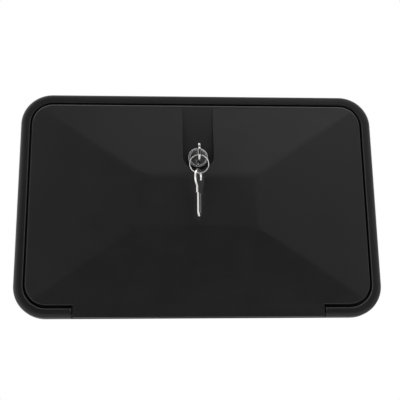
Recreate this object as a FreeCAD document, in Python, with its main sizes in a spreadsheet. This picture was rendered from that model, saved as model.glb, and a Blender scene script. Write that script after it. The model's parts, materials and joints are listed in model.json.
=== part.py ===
import FreeCAD, Part
import math
import os
import re

import Sketcher
from FreeCAD import Placement, Rotation, Vector

# Exterior shower box for a caravan wall: a shallow front frame, a tub behind it, a
# bottom-hinged faceted door with a cam lock, the key in the lock, a split ring with the
# spare key, and a two-handle mixer inside. Millimetres, X right, Y into the wall, Z up.
# The origin lies on the wall face, at the middle of the flange below the tub.

SIZES = {
    # front frame
    "frame_width": 367.2,
    "frame_height": 234.0,
    "frame_corner": 32.0,
    "frame_depth": 12.0,
    "rim_width": 9.85,
    "rim_slope": 5.0,
    "rim_drop": 1.6,
    "rim_edge": 1.8,
    "ear_height": 9.0,
    "ledge_thick": 2.5,
    "skirt_wall": 3.6,
    # tub
    "side_overhang": 27.6,
    "top_overhang": 28.0,
    "tub_depth": 95.0,
    "tub_wall": 3.0,
    "tub_corner": 20.0,
    "tub_bevel": 4.0,
    "flange_thick": 2.5,
    "flange_gap": 0.2,
    "keeper_width": 46.0,
    "keeper_thick": 4.2,
    "keeper_overlap": 6.0,
    "keeper_gap": 0.8,
    # fixing screws
    "screw_radius": 2.2,
    "screw_inset": 7.0,
    "screw_spread": 124.0,
    # door
    "door_gap": 1.9,
    "foot_gap": 3.0,
    "door_corner": 22.0,
    "door_wall": 3.0,
    "crown_rise": 10.5,
    "plateau_width": 116.0,
    "plateau_height": 54.0,
    "plateau_drop": 1.5,
    "recess_width": 32.0,
    "rib_thick": 2.0,
    "rib_setback": 1.5,
    # seal
    "seal_width": 3.0,
    "seal_height": 1.5,
    "seal_gap": 0.3,
    # hinge
    "ear_length": 58.2,
    "ear_gap": 1.3,
    "knuckle": 3.3,
    "foot_inset": 0.2,
    "swing_gap": 0.5,
    "pin_radius": 1.4,
    "pin_seat": 11.0,
    "pin_end_gap": 0.25,
    "pin_press": 0.02,
    "pin_play": 0.06,
    # lock
    "lock_height": 46.6,
    "bezel_radius": 11.0,
    "bezel_height": 3.4,
    "bezel_round": 1.2,
    "barrel_radius": 9.4,
    "barrel_length": 22.6,
    "plug_radius": 8.3,
    "plug_play": 0.1,
    "plug_step": 0.4,
    "cam_length": 31.0,
    "cam_width": 15.0,
    "cam_thick": 2.0,
    "cam_square": 7.0,
    "cam_gap": 0.3,
    "cam_head": 4.0,
    "cam_head_flats": 11.9,
    "lock_nut_flats": 25.0,
    "lock_nut_thick": 4.0,
    # keys and ring
    "key_thick": 2.0,
    "key_play": 0.2,
    "bow_radius": 10.4,
    "neck_length": 4.8,
    "neck_width": 12.0,
    "bow_hole": 4.5,
    "bow_hole_offset": 2.8,
    "blade_width": 7.6,
    "blade_length": 23.6,
    "notch_depth": 1.4,
    "notch_pitch": 3.6,
    "groove_width": 1.8,
    "groove_depth": 0.4,
    "ring_radius": 9.45,
    "ring_half": 1.1,
    "wire_half": 0.6,
    "ring_play": 0.3,
    # mixer
    "tap_centres": 102.0,
    "tap_height": -7.0,
    "mixer_radius": 20.0,
    "mixer_slack": 0.01,
    "mixer_depth": 30.0,
    "mixer_bevel": 4.0,
    "bonnet_flats": 20.0,
    "bonnet_length": 9.0,
    "knob_radius": 19.0,
    "knob_length": 24.0,
    "scallop_radius": 5.4,
    "scallop_reach": 21.8,
    "index_radius": 6.5,
    "index_thick": 1.2,
    "outlet_radius": 10.3,
    "outlet_length": 15.0,
    "outlet_boss": 10.8,
    "outlet_drop": 8.0,
    "collar_flats": 23.6,
    "inlet_radius": 10.4,
    "inlet_bore": 7.0,
    "inlet_length": 24.0,
    "inlet_play": 0.4,
    "hexagon_flats": 30.0,
    "hexagon_length": 9.0,
}

# Positions that follow from the sizes. "forward" is the distance in front of the wall.
PLACES = {
    "half_width": "frame_width / 2",
    "middle": "(frame_height - top_overhang - skirt_wall - flange_gap) / 2",
    "frame_top": "middle + frame_height / 2",
    "frame_foot": "middle - frame_height / 2",
    "rim_side": "half_width - rim_width",
    "rim_top": "frame_top - rim_width",
    "ear_top": "frame_foot + ear_height",
    "ledge_front": "flange_thick + ledge_thick",
    "seat_side": "half_width - skirt_wall",
    "seat_top": "frame_top - skirt_wall",
    "seat_foot": "frame_foot + skirt_wall",
    "seat_corner": "frame_corner - skirt_wall",
    "flange_side": "seat_side - flange_gap",
    "flange_top": "seat_top - flange_gap",
    "flange_foot": "seat_foot + flange_gap",
    "flange_corner": "seat_corner - flange_gap",
    "tub_side": "half_width - side_overhang",
    "tub_top": "frame_top - top_overhang",
    "tub_foot": "frame_foot + top_overhang",
    "mouth_side": "tub_side - tub_wall",
    "mouth_top": "tub_top - tub_wall",
    "mouth_foot": "tub_foot + tub_wall",
    "mouth_corner": "tub_corner - tub_wall",
    "tub_floor": "tub_depth - tub_wall",
    "screw_side": "tub_side + screw_inset",
    "screw_high": "middle + screw_spread / 2",
    "screw_low": "middle - screw_spread / 2",
    "door_side": "rim_side - door_gap",
    "door_top": "rim_top - door_gap",
    "door_foot": "ear_top + foot_gap",
    "door_back": "ledge_front + seal_height + seal_gap",
    "well_corner": "door_corner + door_gap",
    "crown_front": "frame_depth + crown_rise",
    "plateau_side": "plateau_width / 2",
    "plateau_top": "middle - plateau_drop + plateau_height / 2",
    "plateau_foot": "middle - plateau_drop - plateau_height / 2",
    "recess_side": "recess_width / 2",
    "boss_side": "recess_side + door_wall",
    "floor_back": "frame_depth - door_wall",
    "ear_end": "half_width - ear_length",
    "tongue_side": "ear_end - ear_gap",
    "hinge_forward": "frame_depth - knuckle",
    "hinge_height": "frame_foot + foot_inset + knuckle",
    "lip_front": "hinge_forward - knuckle * sqrt(2) - swing_gap",
    "lock_level": "middle + lock_height",
    "bezel_front": "frame_depth + bezel_height",
    "barrel_rear": "barrel_length - frame_depth",
    "plug_front": "bezel_front - plug_step",
    "plug_rear": "barrel_rear + cam_gap",
    "keeper_rear": "plug_rear - keeper_gap",
    "keeper_foot": "lock_level + cam_length - keeper_overlap",
    "shoulder": "plug_front + key_play",
    "bow_middle": "neck_length + bow_radius",
    "key_hole": "bow_middle + bow_hole_offset",
    "hole_forward": "shoulder + key_hole",
    "hole_reach": "bow_hole - ring_play",
    "wire_offset": "sqrt(hole_reach * hole_reach - ring_half * ring_half) - wire_half",
    "ring_top": "lock_level - wire_offset",
    "ring_middle": "ring_top - ring_radius",
    "ring_foot": "ring_middle - ring_radius",
    "spare_hole": "ring_foot - wire_offset",
    "tap_level": "middle + tap_height",
    "tap_side": "tap_centres / 2",
    "mixer_front": "tub_floor - mixer_depth",
    "bonnet_front": "mixer_front - bonnet_length",
    "knob_front": "bonnet_front - knob_length",
    "boss_foot": "tap_level - mixer_radius - outlet_drop",
    "mixer_axis": "tub_floor - mixer_depth / 2",
}

# Finger hollows round each knob, cuts along each key blade, and the turn at which the spare key hangs.
GRIPS = 6
NOTCHES = 5
SPARE_TURN_DEG = 26.0

# Directions in quarter turns, and how near two places count as one.
EAST, NORTH, WEST, SOUTH, FULL_TURN = range(5)
TOUCH = 0.01

doc = FreeCAD.newDocument("exterior_shower_box")
sheet = doc.addObject("Spreadsheet::Sheet", "Sizes")
places = doc.addObject("Spreadsheet::Sheet", "Places")


def to_sheet(text):
    """Return an expression with each name led by the sheet that holds it."""
    def lead(match):
        word = match.group(0)
        if word in SIZES:
            return "Sizes." + word
        if word in PLACES:
            return "Places." + word
        return word
    return re.sub(r"[a-z_]+", lead, text)


for row, (name, number) in enumerate(SIZES.items(), start=1):
    sheet.set(f"A{row}", name)
    sheet.set(f"B{row}", str(number))
    sheet.setAlias(f"B{row}", name)
for row, (name, text) in enumerate(PLACES.items(), start=1):
    places.set(f"A{row}", name)
    places.set(f"B{row}", "=" + to_sheet(text).replace("Places.", ""))
    places.setAlias(f"B{row}", name)
doc.recompute()


def number_of(text):
    """Return the present value of an expression."""
    return float(places.evalExpression(to_sheet(text).replace("Places.", "")))


def bind(thing, **terms):
    """Bind properties of an object to expressions; a double underscore stands for a dot."""
    for prop, text in terms.items():
        thing.setExpression(prop.replace("__", "."), to_sheet(text))
    return thing


def new_body(label):
    """Return an empty body with that label."""
    body = doc.addObject("PartDesign::Body", label)
    body.Label = label
    return body


def new_sketch(body, role, lift="0"):
    """Return a sketch on one of the body's own origin planes, lifted along its normal."""
    sketch = body.newObject("Sketcher::SketchObject", body.Label + "_sketch")
    plane = next(item for item in body.Origin.OriginFeatures if item.Role == role)
    sketch.AttachmentSupport = (plane, [""])
    sketch.MapMode = "FlatFace"
    bind(sketch, AttachmentOffset__Base__z=lift)
    return sketch


def fix(sketch, kind, geometry, point, text):
    """Tie one coordinate of a point to an expression."""
    row = sketch.addConstraint(Sketcher.Constraint(kind, -1, 1, geometry, point, number_of(text)))
    sketch.setExpression(f"Constraints[{row}]", to_sheet(text))


def size_arc(sketch, geometry, text):
    """Tie the radius of an arc or a circle to an expression."""
    row = sketch.addConstraint(Sketcher.Constraint("Radius", geometry, number_of(text)))
    sketch.setExpression(f"Constraints[{row}]", to_sheet(text))


def line(sketch, start, end):
    """Add a straight edge and return its number."""
    return sketch.addGeometry(Part.LineSegment(Vector(*start, 0), Vector(*end, 0)))


def polygon(sketch, corners):
    """Draw a closed outline whose corners are pairs of expressions."""
    spots = [(number_of(across), number_of(up)) for across, up in corners]
    count = len(spots)
    edges = [line(sketch, spots[i], spots[(i + 1) % count]) for i in range(count)]
    for i in range(count):
        sketch.addConstraint(Sketcher.Constraint("Coincident", edges[i], 2, edges[(i + 1) % count], 1))
    for edge, (across, up) in zip(edges, corners):
        fix(sketch, "DistanceX", edge, 1, across)
        fix(sketch, "DistanceY", edge, 1, up)
    return sketch


def rectangle(sketch, left, right, low, high):
    """Draw an upright rectangle."""
    return polygon(sketch, [(left, low), (right, low), (right, high), (left, high)])


def circle(sketch, across, up, radius):
    """Draw a circle."""
    spot = Vector(number_of(across), number_of(up), 0)
    ring = sketch.addGeometry(Part.Circle(spot, Vector(0, 0, 1), number_of(radius)))
    fix(sketch, "DistanceX", ring, 3, across)
    fix(sketch, "DistanceY", ring, 3, up)
    size_arc(sketch, ring, radius)
    return sketch


def arc(sketch, middle, radius, start, end):
    """Add an arc that runs anticlockwise between two angles in quarter turns."""
    quarter = math.pi / 2
    whole = Part.Circle(Vector(*middle, 0), Vector(0, 0, 1), radius)
    return sketch.addGeometry(Part.ArcOfCircle(whole, start * quarter, end * quarter))


def rounded(sketch, left, right, low, high, radius):
    """Draw a rectangle with four equal round corners."""
    x0, x1 = number_of(left), number_of(right)
    y0, y1 = number_of(low), number_of(high)
    r = number_of(radius)
    foot = line(sketch, (x0 + r, y0), (x1 - r, y0))
    turn_a = arc(sketch, (x1 - r, y0 + r), r, SOUTH, FULL_TURN)
    right_side = line(sketch, (x1, y0 + r), (x1, y1 - r))
    turn_b = arc(sketch, (x1 - r, y1 - r), r, EAST, NORTH)
    head = line(sketch, (x1 - r, y1), (x0 + r, y1))
    turn_c = arc(sketch, (x0 + r, y1 - r), r, NORTH, WEST)
    left_side = line(sketch, (x0, y1 - r), (x0, y0 + r))
    turn_d = arc(sketch, (x0 + r, y0 + r), r, WEST, SOUTH)
    chain = [foot, turn_a, right_side, turn_b, head, turn_c, left_side, turn_d]
    for one, two in zip(chain, chain[1:] + chain[:1]):
        sketch.addConstraint(Sketcher.Constraint("Tangent", one, 2, two, 1))
    for flat in (foot, head):
        sketch.addConstraint(Sketcher.Constraint("Horizontal", flat))
    for upright in (right_side, left_side):
        sketch.addConstraint(Sketcher.Constraint("Vertical", upright))
    for other in (turn_b, turn_c, turn_d):
        sketch.addConstraint(Sketcher.Constraint("Equal", turn_a, other))
    size_arc(sketch, turn_a, radius)
    fix(sketch, "DistanceX", left_side, 1, left)
    fix(sketch, "DistanceX", right_side, 1, right)
    fix(sketch, "DistanceY", foot, 1, low)
    fix(sketch, "DistanceY", head, 1, high)
    return sketch


def u_shape(sketch, side, middle, head):
    """Draw an upright U that is round at its foot and flat at its head."""
    s, m, h = number_of(side), number_of(middle), number_of(head)
    right_side = line(sketch, (s, m), (s, h))
    top = line(sketch, (s, h), (-s, h))
    left_side = line(sketch, (-s, h), (-s, m))
    foot = arc(sketch, (0, m), s, WEST, FULL_TURN)
    chain = [right_side, top, left_side, foot]
    sketch.addConstraint(Sketcher.Constraint("Coincident", right_side, 2, top, 1))
    sketch.addConstraint(Sketcher.Constraint("Coincident", top, 2, left_side, 1))
    sketch.addConstraint(Sketcher.Constraint("Tangent", left_side, 2, foot, 1))
    sketch.addConstraint(Sketcher.Constraint("Tangent", foot, 2, right_side, 1))
    for upright in (right_side, left_side):
        sketch.addConstraint(Sketcher.Constraint("Vertical", upright))
    sketch.addConstraint(Sketcher.Constraint("Horizontal", top))
    sketch.addConstraint(Sketcher.Constraint("PointOnObject", foot, 3, -2))
    size_arc(sketch, foot, side)
    fix(sketch, "DistanceY", foot, 3, middle)
    fix(sketch, "DistanceY", top, 1, head)
    return sketch


def feature(body, kind, sketch, **settings):
    """Add a sketch-based feature and bind or set what is given for it."""
    item = body.newObject("PartDesign::" + kind, body.Label + "_" + kind.lower())
    item.Profile = sketch
    for prop, wanted in settings.items():
        if isinstance(wanted, str) and prop not in ("Type", "SideType"):
            bind(item, **{prop: wanted})
        else:
            setattr(item, prop, wanted)
    sketch.Visibility = False
    body.Tip = item
    doc.recompute()
    return item


def turned(body, corners):
    """Add a solid turned about the body's Y axis from (along, radius) corners."""
    sketch = polygon(new_sketch(body, "YZ_Plane"), corners)
    item = body.newObject("PartDesign::Revolution", body.Label + "_turned")
    item.Profile = sketch
    item.ReferenceAxis = (sketch, ["H_Axis"])
    item.Angle = 360.0
    sketch.Visibility = False
    body.Tip = item
    doc.recompute()
    return item


def bevel_edges(body, base, size, wanted, across=None):
    """Bevel the edges of a feature that a test picks out, by one size or by two."""
    names = [f"Edge{i + 1}" for i, edge in enumerate(base.Shape.Edges) if wanted(edge)]
    item = body.newObject("PartDesign::Chamfer", body.Label + "_bevel")
    item.Base = (base, names)
    bind(item, Size=size)
    if across is not None:
        item.ChamferType = "Two distances"
        bind(item, Size2=across)
    body.Tip = item
    doc.recompute()
    return item


def lies_at(edge, axis, place):
    """Say whether the whole edge lies at one coordinate."""
    box = edge.BoundBox
    low, high = getattr(box, axis + "Min"), getattr(box, axis + "Max")
    return abs(low - place) < TOUCH and abs(high - place) < TOUCH


def cylinder(label, radius, length, along, x="0", y="0", z="0"):
    """Return a cylinder that starts at a point and runs along X, Y or Z."""
    turns = {"X": Rotation(Vector(0, 1, 0), 90), "Y": Rotation(Vector(1, 0, 0), -90), "Z": Rotation()}
    item = doc.addObject("Part::Cylinder", label)
    item.Placement = Placement(Vector(), turns[along])
    bind(item, Radius=radius, Height=length)
    return bind(item, Placement__Base__x=x, Placement__Base__y=y, Placement__Base__z=z)


def box(label, x, y, z, width, depth, height):
    """Return a box from its lowest corner and its sizes."""
    item = doc.addObject("Part::Box", label)
    bind(item, Length=width, Width=depth, Height=height)
    return bind(item, Placement__Base__x=x, Placement__Base__y=y, Placement__Base__z=z)


def hex_bar(label, flats, length, along, x="0", y="0", z="0"):
    """Return a six-sided bar that starts at a point and runs along Y or Z."""
    turns = {"Y": Rotation(Vector(1, 0, 0), -90), "Z": Rotation()}
    item = doc.addObject("Part::Prism", label)
    item.Polygon = 6
    item.Placement = Placement(Vector(), turns[along])
    bind(item, Circumradius=f"({flats}) / sqrt(3)", Height=length)
    return bind(item, Placement__Base__x=x, Placement__Base__y=y, Placement__Base__z=z)


def cut(label, base, tool):
    """Return the base less the tool."""
    item = doc.addObject("Part::Cut", label)
    item.Base = base
    item.Tool = tool
    return item


def fuse(label, pieces):
    """Return several shapes as one."""
    item = doc.addObject("Part::MultiFuse", label)
    item.Shapes = pieces
    return item


def make_front_frame():
    """The bezel: rounded rim, ledge for the seal, hinge slot between two ears."""
    body = new_body("front_frame")
    outline = rounded(new_sketch(body, "XZ_Plane"), "-half_width", "half_width",
                      "frame_foot", "frame_top", "frame_corner")
    pad = feature(body, "Pad", outline, Length="frame_depth")
    front = -number_of("frame_depth")
    crown = bevel_edges(body, pad, "rim_drop", lambda edge: lies_at(edge, "Y", front), "rim_slope")
    shoulder = front + number_of("rim_drop")
    bevel_edges(body, crown, "rim_edge", lambda edge: lies_at(edge, "Y", shoulder))
    well = rounded(new_sketch(body, "XZ_Plane", "frame_depth"), "-rim_side", "rim_side",
                   "ear_top", "rim_top", "well_corner")
    feature(body, "Pocket", well, Length="frame_depth - ledge_front")
    mouth = rounded(new_sketch(body, "XZ_Plane", "ledge_front"), "-mouth_side", "mouth_side",
                    "mouth_foot", "mouth_top", "mouth_corner")
    feature(body, "Pocket", mouth, Length="ledge_front")
    seat = rounded(new_sketch(body, "XZ_Plane", "flange_thick"), "-seat_side", "seat_side",
                   "seat_foot", "seat_top", "seat_corner")
    feature(body, "Pocket", seat, Length="flange_thick")
    slot = rectangle(new_sketch(body, "XZ_Plane", "frame_depth"), "-ear_end", "ear_end",
                     "frame_foot - ear_height", "ear_top")
    feature(body, "Pocket", slot, Length="frame_depth - lip_front")
    pins = circle(new_sketch(body, "YZ_Plane"), "-hinge_forward", "hinge_height",
                  "pin_radius + pin_press")
    feature(body, "Pocket", pins, Midplane=True, Length="2 * (ear_end + pin_seat)")
    screws = new_sketch(body, "XZ_Plane", "ledge_front")
    for across in ("-screw_side", "screw_side"):
        for up in ("screw_low", "screw_high"):
            circle(screws, across, up, "screw_radius")
    feature(body, "Pocket", screws, Length="ledge_front")
    return body


def make_tub():
    """The tub with its wall flange and tap holes."""
    body = new_body("tub")
    flange = rounded(new_sketch(body, "XZ_Plane"), "-flange_side", "flange_side",
                     "flange_foot", "flange_top", "flange_corner")
    feature(body, "Pad", flange, Length="flange_thick")
    outside = rounded(new_sketch(body, "XZ_Plane"), "-tub_side", "tub_side",
                      "tub_foot", "tub_top", "tub_corner")
    hull = feature(body, "Pad", outside, Length="tub_depth", Reversed=True)
    rear = number_of("tub_depth")
    bevel_edges(body, hull, "tub_bevel", lambda edge: lies_at(edge, "Y", rear))
    inside = rounded(new_sketch(body, "XZ_Plane", "flange_thick"), "-mouth_side", "mouth_side",
                     "mouth_foot", "mouth_top", "mouth_corner")
    feature(body, "Pocket", inside, Length="flange_thick + tub_floor")
    taps = new_sketch(body, "XZ_Plane", "-tub_floor + tub_wall")
    for across in ("-tap_side", "tap_side"):
        circle(taps, across, "tap_level", "inlet_radius + inlet_play")
    feature(body, "Pocket", taps, Length="3 * tub_wall")
    screws = new_sketch(body, "XZ_Plane", "flange_thick")
    for across in ("-screw_side", "screw_side"):
        for up in ("screw_low", "screw_high"):
            circle(screws, across, up, "screw_radius")
    feature(body, "Pocket", screws, Length="flange_thick")
    return body


def make_keeper():
    """The strike under the tub's roof that the cam turns behind."""
    body = new_body("cam_keeper")
    plate = rectangle(new_sketch(body, "XZ_Plane", "-keeper_rear"), "-keeper_width / 2",
                      "keeper_width / 2", "keeper_foot", "mouth_top")
    feature(body, "Pad", plate, Length="keeper_thick")
    return body


def make_seal():
    """The rubber strip that lies on the ledge under the door's edge."""
    body = new_body("door_seal")
    strip = new_sketch(body, "XZ_Plane", "ledge_front")
    rounded(strip, "-door_side", "door_side", "door_foot", "door_top", "door_corner")
    rounded(strip, "seal_width - door_side", "door_side - seal_width", "door_foot + seal_width",
            "door_top - seal_width", "door_corner - seal_width")
    feature(body, "Pad", strip, Length="seal_height")
    return body


def crowned_block(label, inset, drop, back):
    """A rounded block whose front is four sloping facets round a flat plateau."""
    body = new_body(label)
    outline = rounded(new_sketch(body, "XZ_Plane", back), f"{inset} - door_side", f"door_side - {inset}",
                      f"door_foot + {inset}", f"door_top - {inset}", f"door_corner - {inset}")
    feature(body, "Pad", outline, Length=f"crown_front - {drop} - ({back})")
    edge = f"{drop} - frame_depth"
    crown = f"{drop} - crown_front"
    clear = f"{drop} - crown_front - crown_rise"
    across = "2 * frame_width"
    facets = [
        ("YZ_Plane", "door_top", "plateau_top", "door_top + crown_rise"),
        ("YZ_Plane", "door_foot", "plateau_foot", "door_foot - crown_rise"),
        ("XY_Plane", "door_side", "plateau_side", "door_side + crown_rise"),
        ("XY_Plane", "-door_side", "-plateau_side", "-door_side - crown_rise"),
    ]
    for role, rim, plateau, beyond in facets:
        corners = [(edge, rim), (crown, plateau), (clear, plateau), (clear, beyond), (edge, beyond)]
        if role == "XY_Plane":
            corners = [(second, first) for first, second in corners]
        wedge = polygon(new_sketch(body, role), corners)
        feature(body, "Pocket", wedge, Midplane=True, Length=across)
    return body


def make_door():
    """The door moulding: faceted shell, lock recess, ribs and hinge tongue."""
    outer = crowned_block("door_outer", "0", "0", "door_back")
    inner = crowned_block("door_inner", "door_wall", "door_wall", "door_back - door_wall")
    boss = new_body("door_boss")
    u_shape(new_sketch(boss, "XZ_Plane", "floor_back"), "boss_side", "lock_level", "door_top")
    feature(boss, "Pad", boss.Group[-1], Length="crown_front - floor_back")
    ribs = []
    rib_depth = "crown_front - door_back - rib_setback"
    for side, mark in (("left", "-"), ("right", "")):
        ribs.append(box("door_rib_" + side, f"{mark}plateau_side - rib_thick / 2", "-crown_front",
                        "door_foot", "rib_thick", rib_depth, "door_top - door_foot"))
    ribs.append(box("door_rib_low", "-door_side", "-crown_front", "plateau_foot - rib_thick / 2",
                    "2 * door_side", rib_depth, "rib_thick"))
    kept = fuse("door_kept", [boss] + ribs)
    hollow = cut("door_hollow", inner, kept)
    shell = cut("door_shell", outer, hollow)
    tongue = new_body("door_tongue")
    profile = polygon(new_sketch(tongue, "YZ_Plane"), [
        ("-frame_depth", "hinge_height - knuckle"),
        ("knuckle - hinge_forward", "hinge_height - knuckle"),
        ("knuckle - hinge_forward", "hinge_height + knuckle / 2"),
        ("-door_back", "hinge_height + knuckle"),
        ("-door_back", "door_foot + door_wall"),
        ("-frame_depth", "door_foot + door_wall"),
    ])
    feature(tongue, "Pad", profile, Midplane=True, Length="2 * tongue_side")
    solid = fuse("door_solid", [shell, tongue])
    recess = new_body("door_recess")
    u_shape(new_sketch(recess, "XZ_Plane", "frame_depth"), "recess_side", "lock_level",
            "door_top + door_wall")
    feature(recess, "Pad", recess.Group[-1], Length="crown_rise + door_wall")
    lock_bore = cylinder("door_lock_bore", "barrel_radius + plug_play", "3 * door_wall", "Y",
                         y="-frame_depth - door_wall", z="lock_level")
    left = cylinder("door_bore_left", "pin_radius + pin_play", "pin_seat + ear_gap", "X",
                    x="-tongue_side - ear_gap", y="-hinge_forward", z="hinge_height")
    right = cylinder("door_bore_right", "pin_radius + pin_play", "pin_seat + ear_gap", "X",
                     x="tongue_side - pin_seat", y="-hinge_forward", z="hinge_height")
    return cut("door", solid, fuse("door_cuts", [recess, lock_bore, left, right]))


def make_hinge_pins():
    """Two steel pins pressed into the ears that carry the door's tongue."""
    reach = "2 * (pin_seat - pin_end_gap) + ear_gap"
    left = cylinder("hinge_pin_left", "pin_radius", reach, "X",
                    x="pin_end_gap - ear_end - pin_seat", y="-hinge_forward", z="hinge_height")
    right = cylinder("hinge_pin_right", "pin_radius", reach, "X",
                     x="tongue_side - pin_seat + pin_end_gap", y="-hinge_forward", z="hinge_height")
    return [left, right]


def make_lock():
    """The cam lock: bezel and barrel, nut, turning plug, cam and its screw."""
    barrel = new_body("lock_barrel")
    bind(barrel, Placement__Base__z="lock_level")
    turned(barrel, [
        ("-frame_depth", "barrel_radius"),
        ("-frame_depth", "bezel_radius"),
        ("bezel_round - bezel_front", "bezel_radius"),
        ("-bezel_front", "bezel_radius - bezel_round"),
        ("-bezel_front", "plug_radius + plug_play"),
        ("barrel_rear", "plug_radius + plug_play"),
        ("barrel_rear", "barrel_radius"),
    ])
    nut = cut("lock_nut",
              hex_bar("lock_nut_bar", "lock_nut_flats", "lock_nut_thick", "Y",
                      y="-floor_back", z="lock_level"),
              cylinder("lock_nut_bore", "barrel_radius + plug_play / 2", "lock_nut_thick", "Y",
                       y="-floor_back", z="lock_level"))
    plug = new_body("lock_plug")
    bind(plug, Placement__Base__z="lock_level")
    turned(plug, [
        ("-plug_front", "0"),
        ("-plug_front", "plug_radius"),
        ("plug_rear", "plug_radius"),
        ("plug_rear", "0"),
    ])
    stub = rectangle(new_sketch(plug, "XZ_Plane", "-plug_rear - cam_thick"),
                     "-cam_square / 2", "cam_square / 2", "-cam_square / 2", "cam_square / 2")
    feature(plug, "Pad", stub, Length="cam_thick")
    keyway = rectangle(new_sketch(plug, "XZ_Plane", "plug_front"),
                       "-key_thick / 2 - key_play", "key_thick / 2 + key_play",
                       "-blade_width / 2 - key_play", "blade_width / 2 + key_play")
    feature(plug, "Pocket", keyway, Length="blade_length + key_play")
    cam = new_body("lock_cam")
    bind(cam, Placement__Base__z="lock_level")
    bar = new_sketch(cam, "XZ_Plane", "-plug_rear - cam_thick")
    rounded(bar, "-cam_length", "cam_width / 2", "-cam_width / 2", "cam_width / 2", "cam_width / 3")
    rectangle(bar, "-cam_square / 2 - plug_play", "cam_square / 2 + plug_play",
              "-cam_square / 2 - plug_play", "cam_square / 2 + plug_play")
    feature(cam, "Pad", bar, Length="cam_thick")
    screw = hex_bar("cam_screw", "cam_head_flats", "cam_head", "Y",
                    y="plug_rear + cam_thick", z="lock_level")
    return [barrel, nut, plug, cam, screw]


def make_key(label):
    """A flat key with its shoulder at the origin and its blade along Y."""
    body = new_body(label)
    bow = circle(new_sketch(body, "YZ_Plane"), "-bow_middle", "0", "bow_radius")
    feature(body, "Pad", bow, Midplane=True, Length="key_thick")
    neck = rectangle(new_sketch(body, "YZ_Plane"), "-bow_middle", "0", "-neck_width / 2", "neck_width / 2")
    feature(body, "Pad", neck, Midplane=True, Length="key_thick")
    tip = "blade_length - blade_width / 2"
    blade = polygon(new_sketch(body, "YZ_Plane"), [
        ("-neck_length", "-blade_width / 2"),
        (tip, "-blade_width / 2"),
        ("blade_length", "-blade_width / 6"),
        ("blade_length", "blade_width / 6"),
        (tip, "blade_width / 2"),
        ("-neck_length", "blade_width / 2"),
    ])
    feature(body, "Pad", blade, Midplane=True, Length="key_thick")
    hole = circle(new_sketch(body, "YZ_Plane"), "-key_hole", "0", "bow_hole")
    feature(body, "Pocket", hole, Midplane=True, Length="2 * key_thick")
    notches = new_sketch(body, "YZ_Plane")
    for step in range(1, NOTCHES + 1):
        spot = f"{step} * notch_pitch"
        depth = "notch_depth" if step % 2 else "notch_depth / 2"
        polygon(notches, [
            (f"{spot} - notch_depth", "blade_width / 2 + notch_depth / 4"),
            (f"{spot} - notch_depth / 4", f"blade_width / 2 - {depth}"),
            (f"{spot} + notch_depth / 4", f"blade_width / 2 - {depth}"),
            (f"{spot} + notch_depth", "blade_width / 2 + notch_depth / 4"),
        ])
    feature(body, "Pocket", notches, Midplane=True, Length="2 * key_thick")
    for lift in ("key_thick / 2 - groove_depth", "-key_thick / 2"):
        groove = rectangle(new_sketch(body, "YZ_Plane", lift), "0", tip,
                           "-groove_width / 2", "groove_width / 2")
        feature(body, "Pocket", groove, Reversed=True, Length="groove_depth")
    return body


def make_keys():
    """The key in the lock, the split ring in its bow and the spare key on the ring."""
    in_lock = make_key("key_in_lock")
    bind(in_lock, Placement__Base__y="-shoulder", Placement__Base__z="lock_level")
    ring = new_body("key_ring")
    bind(ring, Placement__Base__y="-hole_forward", Placement__Base__z="ring_middle")
    turned(ring, [
        ("-ring_half", "ring_radius - wire_half"),
        ("-ring_half", "ring_radius + wire_half"),
        ("ring_half", "ring_radius + wire_half"),
        ("ring_half", "ring_radius - wire_half"),
    ])
    spare = make_key("spare_key")
    turn = Rotation(Vector(0, 0, 1), -SPARE_TURN_DEG)
    spare.Placement = Placement(Vector(), turn * Rotation(Vector(1, 0, 0), -90))
    bind(spare, Placement__Base__y="-hole_forward", Placement__Base__z="spare_hole - key_hole")
    return [in_lock, ring, spare]


def make_mixer():
    """The two-handle mixer on the tub's back wall with its inlets and hose outlet."""
    mixer = new_body("mixer_body")
    bar = rounded(new_sketch(mixer, "XZ_Plane", "-tub_floor"), "-tap_side - mixer_radius",
                  "tap_side + mixer_radius", "tap_level - mixer_radius", "tap_level + mixer_radius",
                  "mixer_radius - mixer_slack")
    pad = feature(mixer, "Pad", bar, Length="mixer_depth")
    front = number_of("mixer_front")
    bevel_edges(mixer, pad, "mixer_bevel", lambda edge: lies_at(edge, "Y", front))
    boss = circle(new_sketch(mixer, "XY_Plane", "boss_foot"), "0", "mixer_axis", "outlet_boss")
    feature(mixer, "Pad", boss, Length="mixer_radius + outlet_drop")
    shanks = new_sketch(mixer, "XZ_Plane", "-tub_floor")
    for across in ("-tap_side", "tap_side"):
        circle(shanks, across, "tap_level", "inlet_radius")
    feature(mixer, "Pad", shanks, Reversed=True, Length="tub_wall")
    pieces = [mixer]
    outlet_foot = "boss_foot - outlet_drop / 2 - outlet_length"
    pieces.append(cut(
        "hose_outlet",
        fuse("hose_outlet_solid", [
            hex_bar("hose_outlet_collar", "collar_flats", "outlet_drop / 2", "Z",
                    y="mixer_axis", z="boss_foot - outlet_drop / 2"),
            cylinder("hose_outlet_thread", "outlet_radius", "outlet_length", "Z",
                     y="mixer_axis", z=outlet_foot),
        ]),
        cylinder("hose_outlet_bore", "inlet_bore", "outlet_length", "Z", y="mixer_axis", z=outlet_foot)))
    for name, mark in (("hot", "-"), ("cold", "")):
        pieces += make_tap(name, f"{mark}tap_side")
    return pieces


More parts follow.
